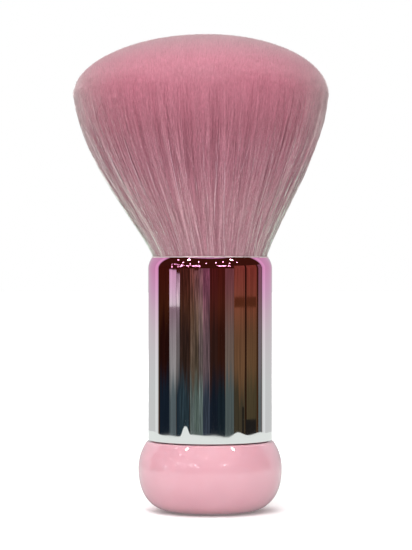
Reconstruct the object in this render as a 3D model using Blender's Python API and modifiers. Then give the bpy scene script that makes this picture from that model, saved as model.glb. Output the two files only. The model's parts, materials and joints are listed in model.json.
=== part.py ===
"""Acrylic nail brush: a soft, flared tuft in a polished sleeve that stands on a ball knob.

Metres, +Z up. The origin is the centre of the knob's flat foot and +Z runs up the handle.
Every piece is turned about the handle's axis, apart from the tuft's slight lean towards -X
and the cord that is wound round the bristles' root.
"""

import math

import bpy

MM = 0.001
COLLECTION = "acrylic_nail_brush"
GAP = 0.3 * MM  # between two pieces that touch on the real brush

# The knob: a flattened ball. It is an ellipse above its widest place and fuller below, and it is
# cut flat for the foot and for the sleeve.
KNOB_RADIUS = 17.4 * MM
KNOB_WIDEST_Z = 10.2 * MM
KNOB_RISE = 14.0 * MM
KNOB_TOP_Z = 16.85 * MM
FOOT_RADIUS = 9.2 * MM
FOOT_FULLNESS = 4.9 * MM
SPIGOT_RADIUS = 12.0 * MM
SPIGOT_LENGTH = 8.0 * MM
SPIGOT_CHAMFER = 0.6 * MM
BALLAST_BORE_RADIUS = 10.5 * MM
BALLAST_FLOOR_Z = 2.8 * MM

# The sleeve: a thin tube whose top edge is rolled in towards the bristles.
SLEEVE_RADIUS = 15.0 * MM
SLEEVE_WALL = 0.8 * MM
SLEEVE_LENGTH = 44.6 * MM
LIP_INSET = 1.25 * MM
LIP_HEIGHT = 2.9 * MM
MOUTH_Z = KNOB_TOP_Z + SLEEVE_LENGTH

# Inside the sleeve.
BALLAST_LENGTH = 12.0 * MM
BALLAST_CHAMFER = 0.6 * MM
CORE_WALL = 1.6 * MM
CORE_WEB = 2.0 * MM
CORE_TOP_Z = 37.4 * MM
CUP_WALL = 0.6 * MM
CUP_TOP_Z = 58.3 * MM
RESIN_DEPTH = 5.0 * MM
CORD_RADIUS = 0.5 * MM
CORD_TURNS = 3
CORD_Z = 49.0 * MM
CORD_POINTS_PER_TURN = 20

# The tuft bends about one point on the axis, a little above the mouth.
PIVOT_Z = MOUTH_Z + 10.0 * MM
SEAT_RADIUS = 16.9 * MM
NECK_THICKNESS = 2.1 * MM
NECK_RIM_DEG = -37.0
WAIST_DEG = -19.0

# The tuft: a flare from the mouth to its widest place, then a soft dome.
TUFT_HEIGHT = 53.7 * MM
TUFT_RADIUS = 30.8 * MM
TUFT_WIDEST = 39.0 * MM
TUFT_ROOT_RADIUS = 13.5 * MM
TUFT_LEAN = 2.2 * MM
TUFT_APEX_LEAN = 0.9 * MM

COARSE_STEPS = 32
FINE_STEPS = 48


def material(name, colour, roughness, metallic=0.0):
    made = bpy.data.materials.new(name)
    made.use_nodes = True
    shader = made.node_tree.nodes["Principled BSDF"]
    shader.inputs["Base Color"].default_value = (*colour, 1.0)
    shader.inputs["Roughness"].default_value = roughness
    shader.inputs["Metallic"].default_value = metallic
    return made


def arc(centre_z, radius, start_deg, end_deg, count, radius_z=None, centre_r=0.0):
    """Points (r, z) of an ellipse about (centre_r, centre_z); 0 degrees points outwards."""
    tall = radius if radius_z is None else radius_z
    points = []
    for i in range(count):
        angle = math.radians(start_deg + (end_deg - start_deg) * i / (count - 1))
        points.append((centre_r + radius * math.cos(angle), centre_z + tall * math.sin(angle)))
    return points


def bezier(a, b, c, d, count):
    """Points of one cubic curve from a to d."""
    points = []
    for i in range(count):
        t = i / (count - 1)
        s = 1 - t
        weights = (s**3, 3 * s * s * t, 3 * s * t * t, t**3)
        points.append(tuple(sum(w * p[k] for w, p in zip(weights, (a, b, c, d))) for k in (0, 1)))
    return points


def turned(name, outline, look, steps, closed=False):
    """A body turned about Z. The outline (r, z) runs down its outer side."""
    edges = [(i, i + 1) for i in range(len(outline) - 1)]
    if closed:
        edges.append((len(outline) - 1, 0))
    mesh = bpy.data.meshes.new(name)
    mesh.from_pydata([(r, 0.0, z) for r, z in outline], edges, [])
    mesh.materials.append(look)
    piece = bpy.data.objects.new(name, mesh)
    parts.objects.link(piece)
    screw = piece.modifiers.new("turn", "SCREW")
    screw.axis = "Z"
    screw.angle = math.tau
    screw.steps = steps
    screw.render_steps = steps
    screw.use_merge_vertices = True
    screw.merge_threshold = 1e-6
    screw.use_smooth_shade = True
    return piece


def knob_base():
    """The ball knob: a bore for the ballast, open at the top of a spigot that holds the sleeve."""
    top_deg = math.degrees(math.asin((KNOB_TOP_Z - KNOB_WIDEST_Z) / KNOB_RISE))
    spigot_top = KNOB_TOP_Z + SPIGOT_LENGTH
    outline = [
        (0.0, BALLAST_FLOOR_Z),
        (BALLAST_BORE_RADIUS, BALLAST_FLOOR_Z),
        (BALLAST_BORE_RADIUS, spigot_top),
        (SPIGOT_RADIUS - SPIGOT_CHAMFER, spigot_top),
        (SPIGOT_RADIUS, spigot_top - SPIGOT_CHAMFER),
        (SPIGOT_RADIUS, KNOB_TOP_Z),
    ]
    outline += arc(KNOB_WIDEST_Z, KNOB_RADIUS, top_deg, 0, 6, radius_z=KNOB_RISE)
    outline += bezier(
        (KNOB_RADIUS, KNOB_WIDEST_Z),
        (KNOB_RADIUS, 0.37 * KNOB_WIDEST_Z),
        (FOOT_RADIUS + FOOT_FULLNESS, 0.0),
        (FOOT_RADIUS, 0.0),
        12,
    )[1:]
    outline += [(0.0, 0.0)]
    look = material("knob_pink_gloss", (0.80, 0.40, 0.46), 0.12)
    return turned("knob_base", outline, look, FINE_STEPS)


def ballast_slug():
    """A steel slug that lies loose-glued in the knob and keeps the brush standing."""
    radius = BALLAST_BORE_RADIUS - GAP
    low = BALLAST_FLOOR_Z + GAP
    high = low + BALLAST_LENGTH
    outline = [
        (0.0, high),
        (radius - BALLAST_CHAMFER, high),
        (radius, high - BALLAST_CHAMFER),
        (radius, low + BALLAST_CHAMFER),
        (radius - BALLAST_CHAMFER, low),
        (0.0, low),
    ]
    look = material("ballast_steel", (0.42, 0.42, 0.43), 0.45, 1.0)
    return turned("ballast_slug", outline, look, COARSE_STEPS)


def handle_core():
    """A moulded liner that fills the sleeve, grips the knob's spigot and carries the cup."""
    outer = SLEEVE_RADIUS - SLEEVE_WALL - GAP
    inner = outer - CORE_WALL
    low = KNOB_TOP_Z + GAP
    outline = [
        (0.0, CORE_TOP_Z),
        (outer, CORE_TOP_Z),
        (outer, low),
        (inner, low),
        (inner, CORE_TOP_Z - CORE_WEB),
        (0.0, CORE_TOP_Z - CORE_WEB),
    ]
    look = material("core_plastic", (0.70, 0.69, 0.67), 0.6)
    return turned("handle_core", outline, look, COARSE_STEPS)


def ferrule_sleeve():
    """The visible tube, with an elliptical rolled-in lip at the mouth."""
    shoulder_z = MOUTH_Z - LIP_HEIGHT
    lip_radius = SLEEVE_RADIUS - LIP_INSET
    inner = SLEEVE_RADIUS - SLEEVE_WALL
    tip = lip_radius - 0.1 * MM
    low = KNOB_TOP_Z + GAP
    outline = arc(shoulder_z, LIP_INSET, 90, 0, 6, radius_z=LIP_HEIGHT, centre_r=lip_radius)
    outline += [(SLEEVE_RADIUS, low), (inner, low)]
    outline += arc(
        shoulder_z, inner - tip, 0, 90, 4, radius_z=LIP_HEIGHT - 0.35 * MM, centre_r=tip
    )
    look = material("sleeve_polished", (0.80, 0.72, 0.78), 0.05, 1.0)
    return turned("ferrule_sleeve", outline, look, FINE_STEPS, closed=True)


def tuft_cup():
    """The thin inner cup that the bristles are glued into before it goes in the sleeve."""
    outer = SLEEVE_RADIUS - SLEEVE_WALL - GAP
    inner = outer - CUP_WALL
    low = CORE_TOP_Z + GAP
    outline = [
        (0.0, low + CUP_WALL),
        (inner, low + CUP_WALL),
        (inner, CUP_TOP_Z),
        (outer, CUP_TOP_Z),
        (outer, low),
        (0.0, low),
    ]
    look = material("cup_aluminium", (0.78, 0.78, 0.79), 0.35, 1.0)
    return turned("tuft_cup", outline, look, COARSE_STEPS)


def cup_inside():
    """The bristles' room in the cup: its radius and its floor, both less the gap."""
    radius = SLEEVE_RADIUS - SLEEVE_WALL - GAP - CUP_WALL - GAP
    return radius, CORE_TOP_Z + GAP + CUP_WALL + GAP


def resin_plug():
    """The bed of glue under the bristles' butt ends."""
    radius, low = cup_inside()
    high = low + RESIN_DEPTH
    outline = [(0.0, high), (radius, high), (radius, low), (0.0, low)]
    look = material("resin_amber", (0.75, 0.55, 0.28), 0.15)
    return turned("resin_plug", outline, look, COARSE_STEPS)


def bristle_root():
    """The bristles' glued root, with a waist for the cord and a round seat for the neck."""
    radius, low = cup_inside()
    low += RESIN_DEPTH + GAP
    waist = radius - 4 * CORD_RADIUS
    half_waist = (CORD_TURNS / 2 + 0.5) * 2 * CORD_RADIUS + GAP
    seat_deg = -math.degrees(math.acos(radius / SEAT_RADIUS))
    outline = arc(PIVOT_Z, SEAT_RADIUS, -90, seat_deg, 8)
    outline[0] = (0.0, PIVOT_Z - SEAT_RADIUS)
    outline += [
        (radius, CORD_Z + half_waist + CORD_RADIUS),
        (waist, CORD_Z + half_waist),
        (waist, CORD_Z - half_waist),
        (radius, CORD_Z - half_waist - CORD_RADIUS),
        (radius, low),
        (0.0, low),
    ]
    look = material("root_fibre", (0.62, 0.32, 0.38), 0.7)
    return turned("bristle_root", outline, look, FINE_STEPS)


def binding_cord():
    """Three turns of cord that tie the root together, as one wound tube."""
    radius = cup_inside()[0] - 4 * CORD_RADIUS + CORD_RADIUS + GAP
    pitch = 2 * CORD_RADIUS + GAP / 2
    count = CORD_TURNS * CORD_POINTS_PER_TURN
    curve = bpy.data.curves.new("binding_cord", "CURVE")
    curve.dimensions = "3D"
    curve.bevel_depth = CORD_RADIUS
    curve.bevel_resolution = 1
    curve.use_fill_caps = True
    curve.materials.append(material("cord_cotton", (0.82, 0.79, 0.72), 0.8))
    spline = curve.splines.new("POLY")
    spline.points.add(count)
    for i, point in enumerate(spline.points):
        turns = i / CORD_POINTS_PER_TURN
        angle = math.tau * turns
        z = CORD_Z + pitch * (turns - CORD_TURNS / 2)
        point.co = (radius * math.cos(angle), radius * math.sin(angle), z, 1.0)
    piece = bpy.data.objects.new("binding_cord", curve)
    parts.objects.link(piece)
    return piece


def bristle_neck():
    """A round bowl of bristles between the root and the tuft: it bends first, front to back."""
    outer = SEAT_RADIUS - GAP
    inner = outer - NECK_THICKNESS
    outline = arc(PIVOT_Z, inner, -90, NECK_RIM_DEG, 8) + arc(PIVOT_Z, outer, NECK_RIM_DEG, -90, 8)
    outline[0] = (0.0, PIVOT_Z - inner)
    outline[-1] = (0.0, PIVOT_Z - outer)
    look = material("neck_fibre", (0.60, 0.30, 0.36), 0.7)
    return turned("bristle_neck", outline, look, FINE_STEPS)


def lean(z):
    """How far the tuft's middle lies towards -X at a height."""
    widest_z = MOUTH_Z + TUFT_WIDEST
    if z > widest_z:
        share = (z - widest_z) / (TUFT_HEIGHT - TUFT_WIDEST)
        return TUFT_LEAN + (TUFT_APEX_LEAN - TUFT_LEAN) * share**2
    start_z = PIVOT_Z + SEAT_RADIUS * math.sin(math.radians(WAIST_DEG))
    share = max(0.0, (z - start_z) / (widest_z - start_z))
    return TUFT_LEAN * math.sin(share * math.pi / 2)


def bristle_tuft():
    """The free bristles: a ball in the neck's bowl, a waist that lets it tilt, a flare and a dome."""
    ball = SEAT_RADIUS - NECK_THICKNESS - 2 * GAP
    widest_z = MOUTH_Z + TUFT_WIDEST
    top_z = MOUTH_Z + TUFT_HEIGHT
    dome = bezier(
        (0.0, top_z),
        (0.58 * TUFT_RADIUS, top_z),
        (TUFT_RADIUS, widest_z + 0.52 * (TUFT_HEIGHT - TUFT_WIDEST)),
        (TUFT_RADIUS, widest_z),
        10,
    )
    flank = bezier(
        (TUFT_RADIUS, widest_z),
        (TUFT_RADIUS - 1.5 * MM, MOUTH_Z + 0.6 * TUFT_WIDEST),
        (TUFT_ROOT_RADIUS + 0.85 * MM, MOUTH_Z + 0.14 * TUFT_WIDEST),
        (TUFT_ROOT_RADIUS, MOUTH_Z),
        14,
    )
    waist_slope = math.tan(math.radians(WAIST_DEG))
    above_waist = [(r, z) for r, z in flank[1:] if z > PIVOT_Z + r * waist_slope]
    edge_radius = above_waist[-1][0] - 0.5 * MM
    waist_edge = (edge_radius, PIVOT_Z + edge_radius * waist_slope)
    outline = dome + above_waist + [waist_edge] + arc(PIVOT_Z, ball, WAIST_DEG, -90, 9)
    outline[-1] = (0.0, PIVOT_Z - ball)
    look = material("tuft_fibre", (0.60, 0.30, 0.36), 0.7)
    upright = turned("bristle_tuft", outline, look, FINE_STEPS)
    graph = bpy.context.evaluated_depsgraph_get()
    mesh = bpy.data.meshes.new_from_object(upright.evaluated_get(graph))
    for vertex in mesh.vertices:
        vertex.co.x -= lean(vertex.co.z)
    bpy.data.objects.remove(upright)
    mesh.name = "bristle_tuft"
    piece = bpy.data.objects.new("bristle_tuft", mesh)
    parts.objects.link(piece)
    return piece


def hang_on_pivot(name, pieces, parent):
    """An empty at the bending point that carries the pieces of one moving body."""
    pivot = bpy.data.objects.new(name, None)
    pivot.empty_display_size = 0.01
    pivot.location = (0.0, 0.0, 0.0 if parent else PIVOT_Z)
    pivot.parent = parent
    parts.objects.link(pivot)
    for piece in pieces:
        piece.parent = pivot
        piece.location = (0.0, 0.0, -PIVOT_Z)
    return pivot


for old in list(bpy.data.objects):
    bpy.data.objects.remove(old)
parts = bpy.data.collections.new(COLLECTION)
bpy.context.scene.collection.children.link(parts)

knob_base()
ballast_slug()
handle_core()
ferrule_sleeve()
tuft_cup()
resin_plug()
bristle_root()
binding_cord()
front_pivot = hang_on_pivot("neck_pivot", [bristle_neck()], None)
hang_on_pivot("tuft_pivot", [bristle_tuft()], front_pivot)
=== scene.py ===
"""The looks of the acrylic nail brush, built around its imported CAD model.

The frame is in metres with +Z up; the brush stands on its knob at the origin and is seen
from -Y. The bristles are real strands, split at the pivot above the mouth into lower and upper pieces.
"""

import json
import math

import bpy
import numpy as np
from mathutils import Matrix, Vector

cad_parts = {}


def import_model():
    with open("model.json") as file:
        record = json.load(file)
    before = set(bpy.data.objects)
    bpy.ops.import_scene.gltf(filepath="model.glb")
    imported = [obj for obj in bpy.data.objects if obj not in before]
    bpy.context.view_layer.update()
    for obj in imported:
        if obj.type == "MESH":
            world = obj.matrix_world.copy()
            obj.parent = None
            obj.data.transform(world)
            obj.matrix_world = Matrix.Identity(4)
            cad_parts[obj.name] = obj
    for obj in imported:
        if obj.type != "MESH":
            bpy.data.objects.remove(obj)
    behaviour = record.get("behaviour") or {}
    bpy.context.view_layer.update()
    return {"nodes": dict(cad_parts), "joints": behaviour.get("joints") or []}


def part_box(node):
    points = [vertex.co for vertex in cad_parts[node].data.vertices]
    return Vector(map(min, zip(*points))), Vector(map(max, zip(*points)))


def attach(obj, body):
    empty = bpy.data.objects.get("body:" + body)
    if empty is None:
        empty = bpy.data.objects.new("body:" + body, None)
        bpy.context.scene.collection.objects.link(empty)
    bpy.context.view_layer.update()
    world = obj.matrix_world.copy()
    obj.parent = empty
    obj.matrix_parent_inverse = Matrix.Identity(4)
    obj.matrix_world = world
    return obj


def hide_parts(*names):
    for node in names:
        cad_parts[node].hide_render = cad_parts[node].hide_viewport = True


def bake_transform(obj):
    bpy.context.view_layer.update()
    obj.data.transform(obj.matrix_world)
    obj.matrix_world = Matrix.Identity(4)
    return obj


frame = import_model()

MM = 0.001

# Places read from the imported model.
sleeve_low, sleeve_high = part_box("ferrule_sleeve")
knob_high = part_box("knob_base")[1]
tuft_low, tuft_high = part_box("bristle_tuft")
MOUTH_Z = sleeve_high.z
SLEEVE_RADIUS = sleeve_high.x
KNOB_RADIUS = knob_high.x
PIVOT_Z = frame["joints"][0]["pos_m"][2]
TUFT_HEIGHT = tuft_high.z - MOUTH_Z - 0.25 * MM  # single filaments reach a little higher
TUFT_RADIUS = (tuft_high.y - tuft_low.y) / 2
TUFT_LEAN = -(tuft_high.x + tuft_low.x) / 2

# The tuft's outline above the mouth.
TUFT_WIDEST = 39.0 * MM
TUFT_ROOT_RADIUS = 13.5 * MM
TUFT_APEX_LEAN = 0.9 * MM

# The sleeve, with its rolled-in lip and its cut edge at the mouth.
SLEEVE_WALL = 0.8 * MM
LIP_INSET = 1.25 * MM
LIP_HEIGHT = 2.9 * MM
LIP_ROLL = 0.85 * MM  # inset of the polished part of the lip
CUT_EDGE_DEPTH = 0.3 * MM  # what the cut edge takes of the lip's height
SLEEVE_BEVEL = 0.12 * MM

# The knob, with its foot, its spigot and the ballast's bore.
KNOB_GAP = 0.3 * MM  # under the sleeve
KNOB_RISE = 14.0 * MM
KNOB_WIDEST_Z = 10.2 * MM
FOOT_RADIUS = 9.2 * MM
FOOT_FULLNESS = 4.9 * MM
SPIGOT_RADIUS = 12.0 * MM
BORE_RADIUS = 10.5 * MM
BORE_FLOOR_Z = 2.8 * MM
KNOB_EDGE = 0.25 * MM  # its small bevels

# Filaments. Those of the flank run from the mouth to their tips, those of the dome show their ends.
SEED = 7
FLANK_PIECES = 8
FLANK_STRANDS = 3400  # in each piece
DOME_PIECES = 4
DOME_STRANDS = 12000  # in each piece
LOCK_SIZE = 3  # filaments of the flank that cling together
STRAND_RADIUS = 0.047 * MM
LOW_POINTS = 5  # along a filament, below the pivot
HIGH_POINTS = 10  # and above it
FLANK_SHARE = 0.55  # how much of the dome's area, from its rim, the flank's filaments end in
STRAY_SHARE = 0.08  # filaments that leave their lock and cross others
PALE_LOCK_SHARE = 0.14  # locks that are paler than the rest
# Filaments given the palest shade: a painted highlight for those that catch the light.
PAINTED_HIGHLIGHT_SHARE = 0.025  # filaments that catch the light
WANDER = 0.10 * MM  # how far a filament sways from its path
WEAVE = 0.07 * MM  # how far it passes over and under its neighbours
RUFFLE = 0.25 * MM  # how far the tuft's unevenness moves whole locks in and out
TIP_SPREAD = 0.07 * MM  # how unevenly long the filaments are
ROUNDNESS = 0.45  # how far a filament is shaded as round, and not as part of the tuft's surface
FLANK_NORMAL = (0.97, -0.25)  # outward and up, for the shading along the flank
BASE_SHADE = 0.43  # of a filament before its own tone is added
MIDDLE_SHADE = 0.55  # towards their tips the filaments' shades run together
DOME_START = 0.965  # where the dome's short filaments start, as a share of their length
DOME_SINK = 0.5 * MM  # how far below its surface they start
ROOT_DEPTH = 1.2 * MM  # filaments start this far below the mouth

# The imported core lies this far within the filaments: a share of the radius by the share of the
# tuft's height, then a drop.
CORE_HEIGHTS = (0.42, 0.56, 0.68)
CORE_SHARES = (0.956, 0.970, 0.981)
CORE_SINK = 0.7 * MM
CORE_DEPTH = 3.0 * MM  # how far it goes down the mouth

# Studio.
FOCAL_MM = 130.0
SENSOR_MM = 36.0
CAMERA_DISTANCE = 0.4815
CAMERA_HEIGHT = 0.0570
CAMERA_SIDE = -0.0010
FLOOR_RADIUS = 6.0
CLOTH_REACH = 0.250
LAMP_DISTANCE = 2.5
COVE_AZIMUTH = 112  # the lit cove starts this many degrees to each side of the front
COVE_ELEVATION = 61  # and this many degrees up


# ---------------------------------------------------------------- materials


def grey(level):
    return (level, level, level)


class Nodes:
    """Short ways to add and join the nodes of a tree."""

    def __init__(self, tree):
        self.tree = tree

    def add(self, kind, **values):
        node = self.tree.nodes.new("ShaderNode" + kind)
        for key, value in values.items():
            setattr(node, key, value)
        return node

    def join(self, source, target):
        self.tree.links.new(source, target)
        return target

    def math(self, operation, *values):
        node = self.add("Math", operation=operation)
        for socket, value in zip(node.inputs, values):
            if isinstance(value, (int, float)):
                socket.default_value = value
            else:
                self.join(value, socket)
        return node.outputs[0]

    def ramp(self, fac, stops):
        node = self.add("ValToRGB")
        elements = node.color_ramp.elements
        while len(elements) < len(stops):
            elements.new(0.5)
        for element, (place, colour) in zip(elements, stops):
            element.position = place
            element.color = (*colour, 1.0)
        self.join(fac, node.inputs["Fac"])
        return node.outputs["Color"]

    def mix(self, fac, a, b, blend="MIX"):
        node = self.add("Mix", data_type="RGBA", blend_type=blend)
        colours = [s for s in node.inputs if s.type == "RGBA"]
        for socket, value in ((node.inputs[0], fac), (colours[0], a), (colours[1], b)):
            if isinstance(value, (int, float)):
                socket.default_value = value
            elif isinstance(value, tuple):
                socket.default_value = (*value, 1.0)
            else:
                self.join(value, socket)
        return next(s for s in node.outputs if s.type == "RGBA")

    def noise(self, vector, scale, detail=2.0, roughness=0.5):
        node = self.add("TexNoise")
        node.inputs["Scale"].default_value = scale
        node.inputs["Detail"].default_value = detail
        node.inputs["Roughness"].default_value = roughness
        self.join(vector, node.inputs["Vector"])
        return node.outputs["Fac"]

    def place(self, scale=(1, 1, 1)):
        """Object coordinates in metres, stretched."""
        mapping = self.add("Mapping")
        mapping.inputs["Scale"].default_value = scale
        self.join(self.add("TexCoord").outputs["Object"], mapping.inputs["Vector"])
        return mapping.outputs["Vector"]

    def height(self, low, high):
        """0 at one height and 1 at another, along the object's Z."""
        split = self.add("SeparateXYZ")
        self.join(self.add("TexCoord").outputs["Object"], split.inputs[0])
        node = self.add("MapRange")
        node.inputs["From Min"].default_value = low
        node.inputs["From Max"].default_value = high
        self.join(split.outputs["Z"], node.inputs["Value"])
        return node.outputs["Result"]

    def distance(self):
        """How far a place is from the object's origin, in metres."""
        node = self.add("VectorMath", operation="LENGTH")
        self.join(self.place(), node.inputs[0])
        return node.outputs["Value"]


class Look(Nodes):
    """A material with its Principled shader."""

    def __init__(self, name, **values):
        self.material = bpy.data.materials.new(name)
        self.material.use_nodes = True
        super().__init__(self.material.node_tree)
        self.shader = self.tree.nodes["Principled BSDF"]
        for socket, value in values.items():
            self.shader.inputs[socket.replace("_", " ")].default_value = value

    def bump(self, height, strength, distance):
        node = self.add("Bump")
        node.inputs["Strength"].default_value = strength
        node.inputs["Distance"].default_value = distance
        self.join(height, node.inputs["Height"])
        self.join(node.outputs["Normal"], self.shader.inputs["Normal"])

    def drive(self, socket, output):
        self.join(output, self.shader.inputs[socket])


def sleeve_look():
    """Mirror polish with a colour that fades from magenta-pink at the mouth to plain silver."""
    look = Look("sleeve_polished", Metallic=1.0)
    tone = look.height(sleeve_low.z, MOUTH_Z)
    cloud = look.noise(look.place((1, 1, 0.5)), 90.0, 2.0)
    tone = look.math("ADD", tone, look.math("MULTIPLY", look.math("SUBTRACT", cloud, 0.5), 0.06))
    tint = look.ramp(
        tone,
        [
            (0.30, (0.92, 0.94, 0.93)),
            (0.46, (0.93, 0.88, 0.90)),
            (0.58, (0.93, 0.80, 0.86)),
            (0.70, (0.94, 0.66, 0.81)),
            (0.82, (0.95, 0.48, 0.76)),
            (0.93, (0.95, 0.37, 0.68)),
        ],
    )
    look.drive("Base Color", tint)
    smear = look.noise(look.place((1, 1, 0.3)), 160.0, 3.0)
    look.drive("Roughness", look.ramp(smear, [(0.35, grey(0.01)), (0.7, grey(0.03))]))
    look.bump(look.noise(look.place((1, 1, 0.15)), 300.0, 2.0), 0.02, 0.1 * MM)
    return look.material


def edge_look():
    """The tube's cut edge at the mouth: bare satin aluminium."""
    look = Look("edge_satin", Metallic=0.6)
    grain = look.noise(look.place((1, 1, 6)), 900.0, 3.0)
    look.drive("Base Color", look.ramp(grain, [(0.3, (0.80, 0.62, 0.65)), (0.7, (0.88, 0.72, 0.75))]))
    look.drive("Roughness", look.ramp(grain, [(0.3, grey(0.25)), (0.7, grey(0.4))]))
    return look.material


def knob_look():
    """Glossy moulded pink plastic under a clear coat."""
    look = Look(
        "knob_pink_gloss",
        Roughness=0.35,
        Coat_Weight=1.0,
        Coat_Roughness=0.06,
        Coat_IOR=1.75,
        Subsurface_Weight=0.35,
        Subsurface_Radius=(1.0, 0.6, 0.6),
        Subsurface_Scale=2.0 * MM,
    )
    cloud = look.noise(look.place(), 60.0, 2.0)
    tone = look.ramp(cloud, [(0.35, (0.655, 0.335, 0.395)), (0.65, (0.69, 0.365, 0.425))])
    look.drive("Base Color", tone)
    look.bump(look.noise(look.place(), 300.0, 2.0), 0.02, 0.1 * MM)
    return look.material


def fibre_tone(look, shade, height):
    """Nylon's colour: by a filament's own shade, its height on the tuft, and how it faces the eye.

    The height adds partly the nylon's own greyer tone low down and partly painted shade and
    painted light; the facing adds a painted sheen.
    """
    own = look.ramp(
        shade,
        [
            (0.0, (0.45, 0.145, 0.20)),
            (0.5, (0.61, 0.235, 0.305)),
            (0.9, (0.77, 0.37, 0.44)),
            # the palest shade, for the filaments painted as a highlight
            (1.0, (0.86, 0.55, 0.62)),
        ],
    )
    # Painted shade and light by height: darker along the middle of the flank and lighter towards the dome,
    # as light falls from above; greyer low down, partly the nylon's own tone.
    height_tone_and_painted_shade = look.ramp(
        height,
        [
            (0.0, (0.70, 0.82, 0.79)),
            (0.2, (0.77, 0.86, 0.83)),
            (0.40, (0.72, 0.66, 0.70)),
            (0.56, (0.70, 0.57, 0.62)),
            (0.72, (0.90, 0.75, 0.80)),
            (0.84, (1.01, 0.89, 0.93)),
            (1.0, (0.96, 0.95, 0.96)),
        ],
    )
    # Painted sheen: the colour turns greyer and paler where a filament faces away from the eye, on the flank
    # more than on the dome.
    facing = look.add("LayerWeight").outputs["Facing"]
    painted_sheen_flank = look.ramp(facing, [(0.25, grey(1.0)), (0.9, (1.6, 4.1, 2.9))])
    painted_sheen_dome = look.ramp(facing, [(0.25, grey(1.0)), (0.9, (0.76, 1.18, 1.0))])
    upper = look.ramp(height, [(0.58, grey(0.0)), (0.84, grey(1.0))])
    sheen = look.mix(upper, painted_sheen_flank, painted_sheen_dome)
    return look.mix(1.0, look.mix(1.0, own, height_tone_and_painted_shade, "MULTIPLY"), sheen, "MULTIPLY")


def strand_look():
    """Nylon filaments. The UV map holds each one's shade, and the height on the tuft."""
    look = Look(
        "strand_nylon",
        Roughness=0.45,
        Specular_IOR_Level=0.45,
        Sheen_Weight=0.4,
        Sheen_Roughness=0.4,
        Sheen_Tint=(0.88, 0.86, 0.86, 1.0),
    )
    split = look.add("SeparateXYZ")
    look.join(look.add("UVMap", uv_map="strand").outputs["UV"], split.inputs[0])
    tone = fibre_tone(look, split.outputs["X"], split.outputs["Y"])
    # Painted glints: the colour is made lighter and darker in short flecks along the filaments.
    glints = look.noise(look.place((1, 1, 0.3)), 3000.0, 2.0)
    painted_glint_flicker = look.ramp(glints, [(0.35, grey(0.90)), (0.65, grey(1.10))])
    look.drive("Base Color", look.mix(1.0, tone, painted_glint_flicker, "MULTIPLY"))
    return look.material


def core_look():
    """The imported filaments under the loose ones: fine stripes along the length."""
    look = Look("core_fibre", Roughness=0.6, Specular_IOR_Level=0.3)
    stripes = look.noise(look.place((1, 1, 0.06)), 2200.0, 3.0, 0.6)
    shade = look.math("MULTIPLY", stripes, 0.8)
    # It takes the filaments' colours, with their painted shade, painted light and painted sheen.
    look.drive("Base Color", fibre_tone(look, shade, look.height(MOUTH_Z, MOUTH_Z + TUFT_HEIGHT)))
    look.bump(stripes, 0.4, 0.2 * MM)
    return look.material


def steel_look():
    """Turned steel, with fine rings."""
    look = Look("ballast_steel", Metallic=1.0)
    rings = look.noise(look.place((1, 1, 8)), 500.0, 3.0)
    look.drive("Base Color", look.ramp(rings, [(0.3, grey(0.34)), (0.7, (0.50, 0.50, 0.51))]))
    look.drive("Roughness", look.ramp(rings, [(0.3, grey(0.32)), (0.7, grey(0.5))]))
    look.bump(rings, 0.2, 0.05 * MM)
    return look.material


def cup_look():
    """Drawn aluminium, with fine lines down its length."""
    look = Look("cup_aluminium", Metallic=1.0)
    drawn = look.noise(look.place((6, 6, 0.4)), 400.0, 3.0)
    look.drive("Base Color", look.ramp(drawn, [(0.3, (0.70, 0.70, 0.71)), (0.7, (0.82, 0.82, 0.83))]))
    look.drive("Roughness", look.ramp(drawn, [(0.3, grey(0.28)), (0.7, grey(0.42))]))
    return look.material


def moulded_look(name, dark, light, roughness, grain):
    """Cast resin or moulded plastic, faintly mottled."""
    look = Look(name, Roughness=roughness)
    mottle = look.noise(look.place(), grain, 4.0)
    look.drive("Base Color", look.ramp(mottle, [(0.35, dark), (0.65, light)]))
    look.bump(mottle, 0.15, 0.05 * MM)
    return look.material


def cord_look():
    """Twisted cotton thread."""
    look = Look("cord_cotton", Roughness=0.85, Sheen_Weight=0.3)
    twist = look.noise(look.place((1, 1, 3)), 3000.0, 2.0)
    look.drive("Base Color", look.ramp(twist, [(0.3, (0.62, 0.58, 0.50)), (0.7, (0.80, 0.77, 0.70))]))
    look.bump(twist, 0.6, 0.1 * MM)
    return look.material


# ---------------------------------------------------------------- shapes


def mesh_object(name, points, faces, material):
    """An object from points (n, 3) and a list of face arrays, each (m, corners)."""
    mesh = bpy.data.meshes.new(name)
    mesh.vertices.add(len(points))
    mesh.vertices.foreach_set("co", np.ascontiguousarray(points, np.float32).ravel())
    corners = np.concatenate([f.ravel() for f in faces]).astype(np.int32)
    sizes = np.concatenate([np.full(len(f), f.shape[1]) for f in faces])
    starts = np.concatenate([[0], np.cumsum(sizes)[:-1]]).astype(np.int32)
    mesh.loops.add(len(corners))
    mesh.loops.foreach_set("vertex_index", corners)
    mesh.polygons.add(len(sizes))
    mesh.polygons.foreach_set("loop_start", starts)
    mesh.update(calc_edges=True)
    mesh.polygons.foreach_set("use_smooth", np.full(len(sizes), True))
    mesh.validate()
    mesh.materials.append(material)
    made = bpy.data.objects.new(name, mesh)
    bpy.context.scene.collection.objects.link(made)
    return made


def arc(centre_r, centre_z, radius_r, radius_z, start_deg, end_deg, count):
    """Points (r, z) along part of an ellipse."""
    angles = np.radians(np.linspace(start_deg, end_deg, count))
    return np.stack([centre_r + radius_r * np.cos(angles), centre_z + radius_z * np.sin(angles)], 1)


def bezier(a, b, c, d, t):
    """Points of cubic curves; a..d are (n, 2) or (2,), t is (k,) or (n, k). Gives (n, k, 2)."""
    t = np.atleast_2d(t)[..., None]
    a, b, c, d = (np.atleast_2d(p)[:, None, :] for p in (a, b, c, d))
    s = 1 - t
    return a * s**3 + b * 3 * s * s * t + c * 3 * s * t * t + d * t**3


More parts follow.
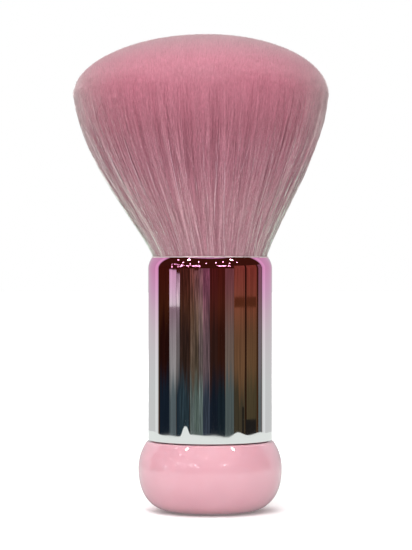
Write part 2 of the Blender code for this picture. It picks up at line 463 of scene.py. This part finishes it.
def turned(name, outline, material, steps=192, closed=True):
    """A closed body turned about Z. The outline (r, z) runs down its outer side.

    A closed outline joins its last point to its first. An open one starts and ends on the axis.
    """
    outline = np.asarray(outline, float)
    ring = outline if closed else outline[1:-1]
    angles = np.arange(steps) * math.tau / steps
    points = np.stack(
        [
            ring[None, :, 0] * np.cos(angles)[:, None],
            ring[None, :, 0] * np.sin(angles)[:, None],
            np.broadcast_to(ring[None, :, 1], (steps, len(ring))),
        ],
        2,
    ).reshape(-1, 3)
    count = len(ring)
    spans = count if closed else count - 1
    i = np.arange(steps)[:, None]
    j = np.arange(spans)[None, :]
    here, after = i * count, (i + 1) % steps * count
    below = (j + 1) % count
    quads = np.stack([here + j, here + below, after + below, after + j], 2).reshape(-1, 4)
    faces = [quads]
    if not closed:
        poles = np.array([[0, 0, outline[0, 1]], [0, 0, outline[-1, 1]]])
        points = np.concatenate([points, poles])
        i = np.arange(steps)
        top, bottom = steps * count, steps * count + 1
        after = (i + 1) % steps * count
        faces.append(np.stack([np.full(steps, top), i * count, after], 1))
        last = count - 1
        faces.append(np.stack([i * count + last, np.full(steps, bottom), after + last], 1))
    made = mesh_object(name, points, faces, material)
    made.data.set_sharp_from_angle(angle=math.radians(40))
    return made


def sleeve():
    """The visible tube: a softly rolled-in lip, a straight side, and a small bevel at the seam."""
    shoulder_z = MOUTH_Z - LIP_HEIGHT
    edge_z = MOUTH_Z - CUT_EDGE_DEPTH
    inner = SLEEVE_RADIUS - SLEEVE_WALL
    mouth_radius = SLEEVE_RADIUS - LIP_INSET
    lip_radius = SLEEVE_RADIUS - LIP_ROLL
    rise = np.linspace(1, 0, 24)
    lip = np.stack([SLEEVE_RADIUS - LIP_ROLL * rise**2, shoulder_z + (edge_z - shoulder_z) * rise], 1)
    straight = np.linspace(shoulder_z, sleeve_low.z + 2.5 * SLEEVE_BEVEL, 10)[1:]
    bevel_centre = (SLEEVE_RADIUS - SLEEVE_BEVEL, sleeve_low.z + SLEEVE_BEVEL)
    outline = np.concatenate(
        [
            lip,
            np.stack([np.full(9, SLEEVE_RADIUS), straight], 1),
            arc(*bevel_centre, SLEEVE_BEVEL, SLEEVE_BEVEL, 0, -90, 6),
            [(inner, sleeve_low.z), (inner, shoulder_z)],
            [(mouth_radius - 0.05 * MM, edge_z - CUT_EDGE_DEPTH), (mouth_radius, edge_z)],
        ]
    )
    edge_middle = (lip_radius + mouth_radius) / 2
    edge_width = (lip_radius - mouth_radius) / 2
    edge = np.concatenate(
        [
            arc(edge_middle, edge_z, edge_width, CUT_EDGE_DEPTH, 180, 0, 14),
            [(mouth_radius, edge_z - 0.1 * MM)],
        ]
    )
    for made in (
        turned("sleeve_tube", outline, sleeve_look()),
        turned("mouth_edge", edge, edge_look()),
    ):
        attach(made, "handle")
        if made.name == "sleeve_tube":
            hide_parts("ferrule_sleeve")


def knob():
    """The ball knob, with a softly rounded foot and the spigot that the sleeve slides over."""
    top_z = sleeve_low.z - KNOB_GAP
    spigot_top = knob_high.z
    top_deg = math.degrees(math.asin((top_z - KNOB_EDGE - KNOB_WIDEST_Z) / KNOB_RISE))
    upper = arc(0, KNOB_WIDEST_Z, KNOB_RADIUS, KNOB_RISE, top_deg, 0, 32)
    lower = bezier(
        (KNOB_RADIUS, KNOB_WIDEST_Z),
        (KNOB_RADIUS, 0.37 * KNOB_WIDEST_Z),
        (FOOT_RADIUS + FOOT_FULLNESS, 0.0),
        (FOOT_RADIUS, 0.0),
        np.linspace(0, 1, 40),
    )[0]
    outline = np.concatenate(
        [
            [(0, BORE_FLOOR_Z), (BORE_RADIUS, BORE_FLOOR_Z), (BORE_RADIUS, spigot_top)],
            [(SPIGOT_RADIUS - KNOB_EDGE, spigot_top), (SPIGOT_RADIUS, spigot_top - KNOB_EDGE)],
            [(SPIGOT_RADIUS, top_z), (upper[0][0] - 1.2 * KNOB_EDGE, top_z)],
            upper,
            lower[1:],
            [(0, 0)],
        ]
    )
    made = turned("knob_shell", outline, knob_look(), closed=False)
    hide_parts("knob_base")
    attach(made, "handle")


# ---------------------------------------------------------------- the tuft


def dome_curve(count=400):
    """The dome's outline from the apex to the widest place, above the mouth."""
    rise = TUFT_HEIGHT - TUFT_WIDEST
    return bezier(
        (0.0, TUFT_HEIGHT),
        (0.58 * TUFT_RADIUS, TUFT_HEIGHT),
        (TUFT_RADIUS, TUFT_WIDEST + 0.52 * rise),
        (TUFT_RADIUS, TUFT_WIDEST),
        np.linspace(0, 1, count),
    )[0]


def dome_place(share):
    """The dome's (r, height) and its normal, where this share of its area lies nearer the apex."""
    curve = dome_curve()
    step = np.diff(curve, axis=0)
    length = np.linalg.norm(step, axis=1)
    area = np.concatenate([[0], np.cumsum(length * (curve[1:, 0] + curve[:-1, 0]))])
    area /= area[-1]
    along = np.gradient(curve, axis=0)
    normal = np.stack([-along[:, 1], along[:, 0]], 1)
    normal /= np.linalg.norm(normal, axis=1, keepdims=True)
    place = np.stack([np.interp(share, area, curve[:, k]) for k in (0, 1)], -1)
    facing = np.stack([np.interp(share, area, normal[:, k]) for k in (0, 1)], -1)
    return place, facing


def lean(height):
    """How far the tuft's middle lies towards -X at a height above the mouth."""
    above = np.clip((height - TUFT_WIDEST) / (TUFT_HEIGHT - TUFT_WIDEST), 0, None)
    below = np.sin(np.clip(height / TUFT_WIDEST, 0, 1) * math.pi / 2)
    return TUFT_LEAN * below + (TUFT_APEX_LEAN - TUFT_LEAN) * above**2


def guides(share):
    """The four control points of the filaments whose tips are at these shares of the dome."""
    tip = dome_place(share)[0]
    root = np.stack([TUFT_ROOT_RADIUS * np.sqrt(share), np.full(len(share), -ROOT_DEPTH)], 1)
    spread = tip[:, 0] - root[:, 0]
    first = np.stack([root[:, 0] + 0.049 * spread, 0.14 * tip[:, 1]], 1)
    second = np.stack([root[:, 0] + 0.913 * spread, 0.604 * tip[:, 1]], 1)
    return root, first, second, tip


def place_at_pivot(share):
    """How far along each filament (0 to 1) it passes the bending point's height."""
    control = guides(share)
    target = PIVOT_Z - MOUTH_Z
    low, high = np.zeros(len(share)), np.ones(len(share))
    for _ in range(30):
        middle = (low + high) / 2
        above = bezier(*control, middle[:, None])[:, 0, 1] > target
        high = np.where(above, middle, high)
        low = np.where(above, low, middle)
    return (low + high) / 2


def clumps(random):
    """A smooth unevenness round the tuft: a function of the angle, mostly from -1 to 1."""
    waves = np.arange(5, 60)
    sizes = random.normal(0, 1, len(waves)) / math.sqrt(len(waves))
    turns = random.uniform(0, math.tau, len(waves))
    return lambda angle: np.sin(angle[..., None] * waves + turns) @ sizes


def filaments(random, unevenness, share, t, turn, crossing, tone):
    """Centrelines (n, k, 3) at the places t (n, k) along them, with surface normals and shades.

    Each goes round by its crossing on the way up, and lies at its turn a little above half way.
    """
    n = len(share)
    outline = bezier(*guides(share), t)
    end = outline[:, -1] - outline[:, -2]
    end /= np.linalg.norm(end, axis=1, keepdims=True)
    outline[:, -1] += end * random.normal(0, TIP_SPREAD, (n, 1))
    wave = random.uniform(0, math.tau, (n, 2))
    size = random.normal(0, WANDER, (n, 2))
    pace = random.uniform(3, 9, (n, 1))
    grown = np.clip(t * 3, 0, 1)
    outline[..., 0] += size[:, :1] * np.sin(t * pace + wave[:, :1]) * grown
    outline[..., 0] += WEAVE * np.sin(t * 4 * pace + wave[:, 1:]) * grown
    outline[..., 0] += RUFFLE * (unevenness(turn)[:, None] - 0.5) * grown * (1 - t**4)
    radius = np.maximum(outline[..., 0], 1 * MM)
    angle = turn[:, None] + crossing[:, None] * (t - 0.6)
    angle = angle + size[:, 1:] * np.sin(t * pace + wave[:, 1:]) * grown / radius
    round_x, round_y = np.cos(angle), np.sin(angle)
    height = outline[..., 1]
    x = outline[..., 0] * round_x - lean(np.maximum(height, 0))
    lines = np.stack([x, outline[..., 0] * round_y, height + MOUTH_Z], -1)
    facing = dome_place(share)[1][:, None, :]
    sideways = 1 - np.clip((t - 0.55) / 0.45, 0, 1)[..., None] ** 1.5  # gone at the tips
    sideways = sideways * np.clip(share / 0.45, 0, 1)[:, None, None]  # and near the apex
    facing = sideways * np.array(FLANK_NORMAL) + (1 - sideways) * facing
    surface = np.stack([facing[..., 0] * round_x, facing[..., 0] * round_y, facing[..., 1]], -1)
    shade = BASE_SHADE + tone + 0.13 * unevenness(turn) + random.normal(0, 0.12, n)
    shade = np.clip(shade, 0, 0.9)
    # A few filaments take the palest shade: a painted highlight.
    shade = np.where(random.uniform(0, 1, n) < PAINTED_HIGHLIGHT_SHARE, 1.0, shade)[:, None]
    blur = 0.93 * np.clip((t - 0.68) / 0.32, 0, 1)
    return lines, surface, shade + (MIDDLE_SHADE - shade) * blur


def strand_rings(lines, surface, t, random):
    """Three corners (n, k, 3, 3) round each point of the centrelines, and their normals."""
    even = STRAND_RADIUS * random.uniform(0.75, 1.25, (len(lines), 1))
    radii = even * (1 - 0.5 * np.clip((t - 0.78) / 0.22, 0, 1) ** 2)  # tapered to the tip
    tangent = np.gradient(lines, axis=1)
    tangent /= np.linalg.norm(tangent, axis=2, keepdims=True)
    outward = lines.mean(axis=1) * (1, 1, 0)
    outward /= np.linalg.norm(outward, axis=1, keepdims=True)
    side = np.cross(tangent, outward[:, None, :])
    side /= np.linalg.norm(side, axis=2, keepdims=True)
    front = np.cross(side, tangent)
    angles = (np.arange(3) * math.tau / 3)[:, None]
    angles = angles + random.uniform(0, math.tau, (len(lines), 1, 1, 1))
    spoke = np.cos(angles) * front[:, :, None, :] + np.sin(angles) * side[:, :, None, :]
    corners = lines[:, :, None, :] + radii[:, :, None, None] * spoke
    roundness = (ROUNDNESS * (1 - 0.6 * np.clip((t - 0.7) / 0.3, 0, 1)))[:, :, None, None]
    normals = roundness * spoke + (1 - roundness) * surface[:, :, None, :]
    normals /= np.linalg.norm(normals, axis=3, keepdims=True)
    return corners, normals


def strand_mesh(name, corners, normals, shade, material):
    """Closed three-sided filaments, with a UV map of shade and height above the mouth."""
    n, k = corners.shape[:2]
    first = np.arange(n) * k * 3
    ring = (first[:, None] + np.arange(k - 1) * 3)[..., None]
    here, after = np.arange(3), np.roll(np.arange(3), -1)
    quads = np.stack([ring + here, ring + after, ring + 3 + after, ring + 3 + here], 3).reshape(-1, 4)
    roots = first[:, None] + np.array([2, 1, 0])
    tips = first[:, None] + (k - 1) * 3 + np.array([0, 1, 2])
    made = mesh_object(name, corners.reshape(-1, 3), [quads, roots, tips], material)
    mesh = made.data
    mesh.normals_split_custom_set_from_vertices(normals.reshape(-1, 3))
    vertex = np.zeros(len(mesh.loops), np.int32)
    mesh.loops.foreach_get("vertex_index", vertex)
    height = (corners[..., 2].reshape(-1) - MOUTH_Z) / TUFT_HEIGHT
    uv = np.stack([np.repeat(shade.reshape(-1), 3)[vertex], height[vertex]], 1)
    layer = mesh.uv_layers.new(name="strand")
    layer.data.foreach_set("uv", np.clip(uv, 0, 1).astype(np.float32).ravel())
    return made


def bend_high(piece):
    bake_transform(piece)


def bend_low(piece):
    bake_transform(piece)


def flank(random, unevenness, material):
    """Filaments that show along the flank, in a lower and an upper piece that meet at the pivot."""
    n = FLANK_STRANDS
    locks = n // LOCK_SIZE
    meet = LOW_POINTS - 1
    for part in range(FLANK_PIECES):
        lock = random.integers(0, locks, n)
        share = 1 - FLANK_SHARE * random.uniform(0, 1, locks)[lock] ** 1.5
        share = np.clip(share + random.normal(0, 0.008, n), 0, 1)
        cut = place_at_pivot(share)[:, None]
        low = cut * np.linspace(0, 1, LOW_POINTS)
        high = cut + (1 - cut) * np.linspace(0, 1, HIGH_POINTS)
        t = np.concatenate([low, high[:, 1:]], 1)
        turn = random.uniform(0, math.tau, locks)[lock] + random.normal(0, 0.006, n)
        crossing = random.normal(0, 0.06, locks)[lock] + random.normal(0, 0.02, n)
        tone = random.normal(0, 0.17, locks)[lock]
        tone = tone + 0.30 * (random.uniform(0, 1, locks) < PALE_LOCK_SHARE)[lock]
        stray = random.uniform(0, 1, n) < STRAY_SHARE
        turn = np.where(stray, random.uniform(0, math.tau, n), turn)
        crossing = np.where(stray, random.normal(0, 0.18, n), crossing)
        lines, surface, shade = filaments(random, unevenness, share, t, turn, crossing, tone)
        corners, normals = strand_rings(lines, surface, t, random)
        for level, span, bend in (
            ("low", slice(meet + 1), bend_low),
            ("high", slice(meet, None), bend_high),
        ):
            name = f"bristles_{level}_{part}"
            bend(strand_mesh(name, corners[:, span], normals[:, span], shade[:, span], material))


def dome(random, unevenness, material):
    """Filament ends that stand close together over the whole dome."""
    n = DOME_STRANDS
    for part in range(DOME_PIECES):
        share = random.uniform(0.0004, 0.85, n)
        start = DOME_START - 0.14 * share**2 - 0.03 * random.uniform(0, 1, n)
        t = start[:, None] + (1 - start[:, None]) * np.array([0, 0.5, 1])
        turn = random.uniform(0, math.tau, n)
        crossing = random.normal(0, 0.05, n)
        lines, surface, shade = filaments(random, unevenness, share, t, turn, crossing, np.zeros(n))
        lines[:, 0] -= DOME_SINK * surface[:, 0]
        corners, normals = strand_rings(lines, surface, t, random)
        bend_high(strand_mesh(f"bristles_dome_{part}", corners, normals, shade, material))


def core():
    """The packed bristles behind the loose ones, in two pieces that meet at the pivot."""
    material = core_look()
    flank_curve = bezier(*guides(np.array([1.0])), np.linspace(0, 1, 60))[0]
    outline = np.concatenate([dome_curve(60), flank_curve[::-1][1:]])
    outline[:, 0] *= np.interp(outline[:, 1] / TUFT_HEIGHT, CORE_HEIGHTS, CORE_SHARES)
    outline[:, 1] -= CORE_SINK
    pivot_height = PIVOT_Z - MOUTH_Z
    radius_at_pivot = CORE_SHARES[0] * np.interp(
        pivot_height, flank_curve[:, 1] - CORE_SINK, flank_curve[:, 0]
    )
    high = [p for p in outline if p[1] > pivot_height + 0.2 * MM]
    low = [p for p in outline if p[1] < pivot_height - 0.2 * MM]
    seam = (radius_at_pivot, pivot_height)
    upper = np.array([*high, seam, (0, pivot_height)])
    lower = np.array([(0, pivot_height), seam, *low, (low[-1][0], -CORE_DEPTH), (0, -CORE_DEPTH)])
    for name, shape, node, bend in (
        ("bristle_core_high", upper, "bristle_tuft", bend_high),
        ("bristle_core_low", lower, "bristle_neck", bend_low),
    ):
        made = turned(name, shape, material, steps=160, closed=False)
        points = np.array([v.co for v in made.data.vertices])
        points[:, 0] -= lean(np.maximum(points[:, 2], 0))
        points[:, 2] += MOUTH_Z
        made.data.vertices.foreach_set("co", points.astype(np.float32).ravel())
        made.data.update()
        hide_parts(node)
        bend(made)


# ---------------------------------------------------------------- inside pieces


def inner_looks():
    """The CAD shapes inside the brush stay, and get their own materials."""
    looks = {
        "ballast_slug": steel_look(),
        "tuft_cup": cup_look(),
        "handle_core": moulded_look("core_plastic", (0.60, 0.59, 0.57), (0.68, 0.67, 0.65), 0.55, 300.0),
        "resin_plug": moulded_look("resin_amber", (0.50, 0.30, 0.10), (0.66, 0.44, 0.18), 0.18, 150.0),
        "bristle_root": core_look(),
        "binding_cord": cord_look(),
    }
    for node, material in looks.items():
        piece = frame["nodes"][node]
        piece.data.materials.clear()
        piece.data.materials.append(material)
        piece.data.set_sharp_from_angle(angle=math.radians(35))


# ---------------------------------------------------------------- studio


class Glow(Nodes):
    """A material that only shines."""

    def __init__(self, name, colour, strength=1.0):
        self.material = bpy.data.materials.new(name)
        self.material.use_nodes = True
        super().__init__(self.material.node_tree)
        self.tree.nodes.clear()
        self.shader = self.add("Emission")
        self.shader.inputs["Color"].default_value = (*colour, 1.0)
        self.shader.inputs["Strength"].default_value = strength
        self.join(self.shader.outputs[0], self.add("OutputMaterial").inputs[0])


def only_in_reflections(piece):
    piece.visible_camera = False
    piece.visible_diffuse = False
    piece.visible_shadow = False
    piece.visible_transmission = False


ROOM_DISTANCE = 1.5
# What stands round the studio and shows only in polish: azimuth of its middle from -Y towards +X
# and width in degrees, low and high edge in metres, then its colour high up, at the brush's
# height and low down.
ROOM = [
    ("dark_door", -94, 27, -0.5, 0.5, (0.045, 0.015, 0.005), (0.016, 0.004, 0.003), (0.007, 0.012, 0.021)),
    ("pane", -73, 16, 0.026, 0.078, (0.64, 0.78, 0.68), (0.62, 0.76, 0.68), (0.6, 0.6, 0.6)),
    ("sill", -73, 16, -0.5, 0.026, (0.22, 0.20, 0.20), (0.26, 0.25, 0.25), (0.08, 0.10, 0.11)),
    ("blind", -61, 7, 0.026, 0.072, (0.45, 0.58, 0.47), (0.45, 0.5, 0.45), (0.3, 0.3, 0.3)),
    ("blind_foot", -61, 7, -0.5, 0.026, (0.24, 0.22, 0.22), (0.13, 0.12, 0.12), (0.015, 0.026, 0.038)),
    ("recess", -48, 20, -0.5, 0.085, (0.05, 0.027, 0.011), (0.026, 0.014, 0.010), (0.020, 0.034, 0.044)),
    ("shelf", -33, 8, -0.5, 0.092, (0.11, 0.08, 0.04), (0.09, 0.065, 0.045), (0.095, 0.12, 0.115)),
    ("books", -25, 8, -0.5, 0.080, (0.12, 0.10, 0.06), (0.07, 0.052, 0.035), (0.075, 0.10, 0.09)),
    ("jars", -17, 8, -0.5, 0.095, (0.16, 0.14, 0.10), (0.10, 0.08, 0.075), (0.10, 0.13, 0.125)),
    ("curtain", -7, 13, -0.5, 0.098, (0.135, 0.085, 0.085), (0.095, 0.065, 0.07), (0.027, 0.034, 0.05)),
    ("case", 6.5, 14, -0.5, 0.090, (0.06, 0.018, 0.010), (0.028, 0.011, 0.008), (0.007, 0.011, 0.019)),
    ("case_side", 20.5, 14, -0.5, 0.095, (0.057, 0.017, 0.007), (0.03, 0.009, 0.005), (0.008, 0.014, 0.020)),
    ("pillar", 36, 17, -0.5, 0.085, (0.15, 0.098, 0.067), (0.13, 0.10, 0.08), (0.072, 0.09, 0.09)),
    ("door_left", 56, 22, -0.5, 0.50, (0.185, 0.086, 0.037), (0.128, 0.066, 0.032), (0.046, 0.036, 0.022)),
    ("door_right", 83, 25, -0.5, 0.50, (0.18, 0.078, 0.032), (0.115, 0.062, 0.029), (0.060, 0.044, 0.023)),
    ("side_panel", 105, 9, -0.5, 0.50, (0.19, 0.155, 0.145), (0.175, 0.16, 0.175), (0.11, 0.125, 0.13)),
]
BUSY = ("blind", "recess", "shelf", "books", "jars", "curtain")  # crowded with small bright things
# What stands a little in front of it.
NEARER = [
    ("door_rail_left", 56, 21, 0.026, 0.036, (0.085, 0.034, 0.011)),
    ("door_rail_right", 82, 24, 0.026, 0.036, (0.08, 0.033, 0.011)),
    ("door_gap", 69.3, 2.6, -0.5, 0.5, (0.012, 0.003, 0.002)),
    ("bag", 81, 26, -0.5, -0.082, (0.014, 0.012, 0.011)),
    ("strap", 63, 5, -0.5, -0.070, (0.02, 0.016, 0.012)),
    ("cove_edge_left", -118.5, 9, -0.5, 2.6, (0.72, 0.72, 0.73)),
    ("cove_edge_right", 119.5, 8, -0.5, 2.6, (0.72, 0.72, 0.73)),
]


def room_look(name, high, middle, low):
    """A blurred stretch of room: three colours down its height, broken up by soft streaks."""
    look = Glow("room_" + name, middle)
    wander = look.math("MULTIPLY", look.math("SUBTRACT", look.noise(look.place(), 9.0, 3.0), 0.5), 0.5)
    level = look.math("ADD", look.height(-0.10, 0.06), wander)
    colour = look.ramp(level, [(0.25, low), (0.42, middle), (0.62, middle), (0.82, high)])
    busy = name in BUSY
    streaks = look.noise(look.place((1.3, 1.3, 1.3) if busy else (1, 1, 0.5)), 17.0, 5.0, 0.7)
    dull, bright = (0.3, 2.6) if busy else (0.6, 1.4)
    shade = look.ramp(streaks, [(0.30, grey(dull)), (0.5, grey(1.0)), (0.70, grey(bright))])
    look.join(look.mix(1.0, colour, shade, "MULTIPLY"), look.shader.inputs["Color"])
    return look.material


def card(name, distance, middle, width, low, high, material):
    """A stretch of wall about the brush that only reflections see."""
    count = max(3, round(width / 3))
    angles = np.radians(np.linspace(middle - width / 2, middle + width / 2, count))
    bottom = np.stack([distance * np.sin(angles), -distance * np.cos(angles), np.full(count, low)], 1)
    points = np.concatenate([bottom, bottom + (0, 0, high - low)])
    i = np.arange(count - 1)
    quads = np.stack([i, i + 1, i + count + 1, i + count], 1)
    only_in_reflections(mesh_object("room_" + name, points, [quads], material))


def room():
    for name, middle, width, low, high, *tones in ROOM:
        card(name, ROOM_DISTANCE, middle, width, low, high, room_look(name, *tones))
    for name, middle, width, low, high, tone in NEARER:
        card(name, 0.97 * ROOM_DISTANCE, middle, width, low, high, Glow("room_" + name, tone).material)


def lamp(name, azimuth, elevation, width, tall, glow):
    """A round lamp, as wide and tall as these angles in degrees."""
    az, el = math.radians(azimuth), math.radians(elevation)
    way = np.array([math.sin(az) * math.cos(el), -math.cos(az) * math.cos(el), math.sin(el)])
    across = np.array([math.cos(az), math.sin(az), 0.0])
    up = np.cross(across, way)
    up *= np.sign(up[2]) * LAMP_DISTANCE * math.radians(tall) / 2
    across *= LAMP_DISTANCE * math.radians(width) / 2
    angles = np.arange(12) * math.tau / 12
    rim = LAMP_DISTANCE * way + np.cos(angles)[:, None] * across + np.sin(angles)[:, None] * up
    only_in_reflections(mesh_object(name, rim, [np.arange(12)[None, :]], glow.material))


# Lamps by azimuth and elevation in degrees, and groups of glints by their middle azimuth, how far
# they reach to each side, their lowest and highest elevation, and how many there are.
BIG_LAMPS = [(-53, 50), (53, 50)]
SMALL_LAMPS = [
    (-78, 44), (-58, 36), (-40, 30), (-25, 42), (-8, 34), (12, 38), (28, 42), (40, 33), (58, 36),
]
GLINTS = [(-36, 20, 12, 21, 24), (27, 18, 12, 21, 20), (-70, 14, 8, 26, 12)]


def lamps():
    """Two big lamps overhead, a row of small ones, and glints from the shelves."""
    bright = Glow("lamp_bright", (1.0, 0.95, 0.93), 60.0)
    dim = Glow("lamp_dim", (1.0, 0.93, 0.93), 20.0)
    for i, place in enumerate(BIG_LAMPS):
        lamp(f"lamp_big_{i}", *place, 3.2, 6.5, bright)
    for i, place in enumerate(SMALL_LAMPS):
        lamp(f"lamp_small_{i}", *place, 1.3, 2.6, dim)
    random = np.random.default_rng(SEED + 2)
    glint = Glow("glint", (1.0, 0.9, 0.92), 18.0)
    for group, (middle, reach, low, high, count) in enumerate(GLINTS):
        for i in range(count):
            lamp(
                f"glint_{group}_{i}",
                middle + reach * random.uniform(-1, 1),
                random.uniform(low, high),
                random.uniform(0.9, 2.2),
                random.uniform(0.7, 1.2),
                glint,
            )


def disc(name, reach, height, material):
    """A flat sheet round the brush, with a point for every degree of its edge."""
    angles = np.arange(360) * math.tau / 360
    points = np.stack([reach * np.cos(angles), reach * np.sin(angles), np.full(360, height)], 1)
    return mesh_object(name, points, [np.arange(360)[None, :]], material)


def floor():
    """A pale floor, which grows lighter away from the brush so that it has no horizon."""
    look = Look("floor_pale", Roughness=0.9, Specular_IOR_Level=0.1, Emission_Color=(1, 1, 1, 1))
    grain = look.noise(look.place(), 40.0, 3.0)
    look.drive("Base Color", look.ramp(grain, [(0.3, grey(0.85)), (0.7, grey(0.89))]))
    spread = look.add("MapRange", interpolation_type="SMOOTHSTEP")
    look.join(look.distance(), spread.inputs["Value"])
    for socket, value in (("From Min", 0.03), ("From Max", 0.6), ("To Min", 0.12), ("To Max", 1.0)):
        spread.inputs[socket].default_value = value
    # The floor glows to the camera alone, more the farther it is from the brush: painted light that makes
    # the far floor white.
    seen = look.add("LightPath").outputs["Is Camera Ray"]
    look.drive("Emission Strength", look.math("MULTIPLY", spread.outputs["Result"], seen))
    ground = disc("stage_floor", FLOOR_RADIUS, -0.1 * MM, look.material)
    ground.visible_glossy = False


def cloth():
    """The white cloth that the polished parts mirror, with folds along its edge.

    Its glow darkens close to the brush: a painted shadow.
    """
    look = Look(
        "cloth",
        Roughness=1.0,
        Specular_IOR_Level=0.0,
        Base_Color=(0, 0, 0, 1),
        Emission_Strength=1.0,
    )
    # Painted shadow: the glow is dark right by the foot and brightens farther out.
    glow_with_painted_shadow = look.ramp(
        look.distance(),
        [(0.012, (0.30, 0.24, 0.25)), (0.025, (0.60, 0.58, 0.58)), (0.06, (0.78, 0.80, 0.785))],
    )
    look.drive("Emission Color", glow_with_painted_shadow)
    angles = np.arange(360) * math.tau / 360
    azimuth = np.degrees(np.arctan2(np.cos(angles), -np.sin(angles)))
    reach = CLOTH_REACH + 0.005 * np.sin(3 * angles + 1.0) + 0.002 * np.sin(8 * angles)
    reach += 0.043 * np.exp(-(np.abs((azimuth + 45.5) / 6.5) ** 3))
    reach += 0.018 * np.exp(-(((azimuth - 50) / 12) ** 2))
    only_in_reflections(disc("stage_cloth", reach, -0.02 * MM, look.material))


def world():
    """White all round, but what mirrors sees is a lit cove behind and a dark room in front."""
    made = bpy.data.worlds.new("studio")
    bpy.context.scene.world = made
    made.use_nodes = True
    sky = Nodes(made.node_tree)
    sky.tree.nodes.clear()

    def shine(colour, strength):
        node = sky.add("Background")
        node.inputs["Strength"].default_value = strength
        if isinstance(colour, tuple):
            node.inputs["Color"].default_value = (*colour, 1.0)
        else:
            sky.join(colour, node.inputs["Color"])
        return node.outputs[0]

    def blend(where, first, second):
        node = sky.add("MixShader")
        for value, socket in zip((where, first, second), node.inputs):
            sky.join(value, socket)
        return node.outputs[0]

    direction = sky.add("SeparateXYZ")
    sky.join(sky.add("TexCoord").outputs["Generated"], direction.inputs[0])
    x, y, z = direction.outputs
    azimuth = sky.math("ARCTAN2", x, sky.math("MULTIPLY", y, -1.0))
    side = sky.math("ABSOLUTE", sky.math("DIVIDE", azimuth, math.radians(COVE_AZIMUTH)))
    up = sky.math("DIVIDE", z, math.sin(math.radians(COVE_ELEVATION)))
    up = sky.math("POWER", sky.math("MAXIMUM", up, 0.0), 5.0)
    cove = sky.add("MapRange")
    sky.join(sky.math("ADD", sky.math("POWER", side, 9.0), up), cove.inputs["Value"])
    cove.inputs["From Min"].default_value = 0.92
    cove.inputs["From Max"].default_value = 1.08
    mirrored = sky.mix(cove.outputs["Result"], (0.042, 0.017, 0.006), (0.58, 0.58, 0.585))
    path = sky.add("LightPath")
    lit = blend(path.outputs["Is Glossy Ray"], shine((1.0, 0.99, 0.98), 0.58), shine(mirrored, 1.0))
    final = blend(path.outputs["Is Camera Ray"], lit, shine((1.0, 1.0, 1.0), 1.0))
    sky.join(final, sky.add("OutputWorld").inputs[0])


def area_light(name, place, aim_z, size, power):
    """A soft round lamp that points at a height on the brush, and isn't mirrored."""
    data = bpy.data.lights.new(name, "AREA")
    data.shape = "DISK"
    data.size = size
    data.energy = power
    light = bpy.data.objects.new(name, data)
    light.location = place
    way = Vector((0, 0, aim_z)) - light.location
    light.rotation_euler = way.to_track_quat("-Z", "Y").to_euler()
    light.visible_glossy = False
    bpy.context.scene.collection.objects.link(light)


def lights():
    area_light("key_light", (-0.06, -0.50, 0.68), 0.06, 0.6, 3.9)
    area_light("top_light", (-0.06, -0.20, 0.75), 0.09, 0.5, 1.8)
    area_light("back_light", (-0.30, 0.70, 0.50), 0.07, 1.0, 5.5)
    area_light("front_light", (-0.06, -0.85, 0.40), 0.06, 0.6, 1.3)


def camera():
    data = bpy.data.cameras.new("camera")
    data.lens = FOCAL_MM
    data.sensor_width = SENSOR_MM
    made = bpy.data.objects.new("camera", data)
    made.location = (CAMERA_SIDE, -CAMERA_DISTANCE, CAMERA_HEIGHT)
    made.rotation_euler = (math.pi / 2, 0, 0)
    bpy.context.scene.collection.objects.link(made)
    bpy.context.scene.camera = made


camera()
world()
lights()
floor()
cloth()
room()
lamps()
bpy.context.scene.view_settings.view_transform = "Standard"

sleeve()
knob()
core()
unevenness = clumps(np.random.default_rng(SEED))
nylon = strand_look()
flank(np.random.default_rng(SEED + 3), unevenness, nylon)
dome(np.random.default_rng(SEED + 4), unevenness, nylon)
inner_looks()
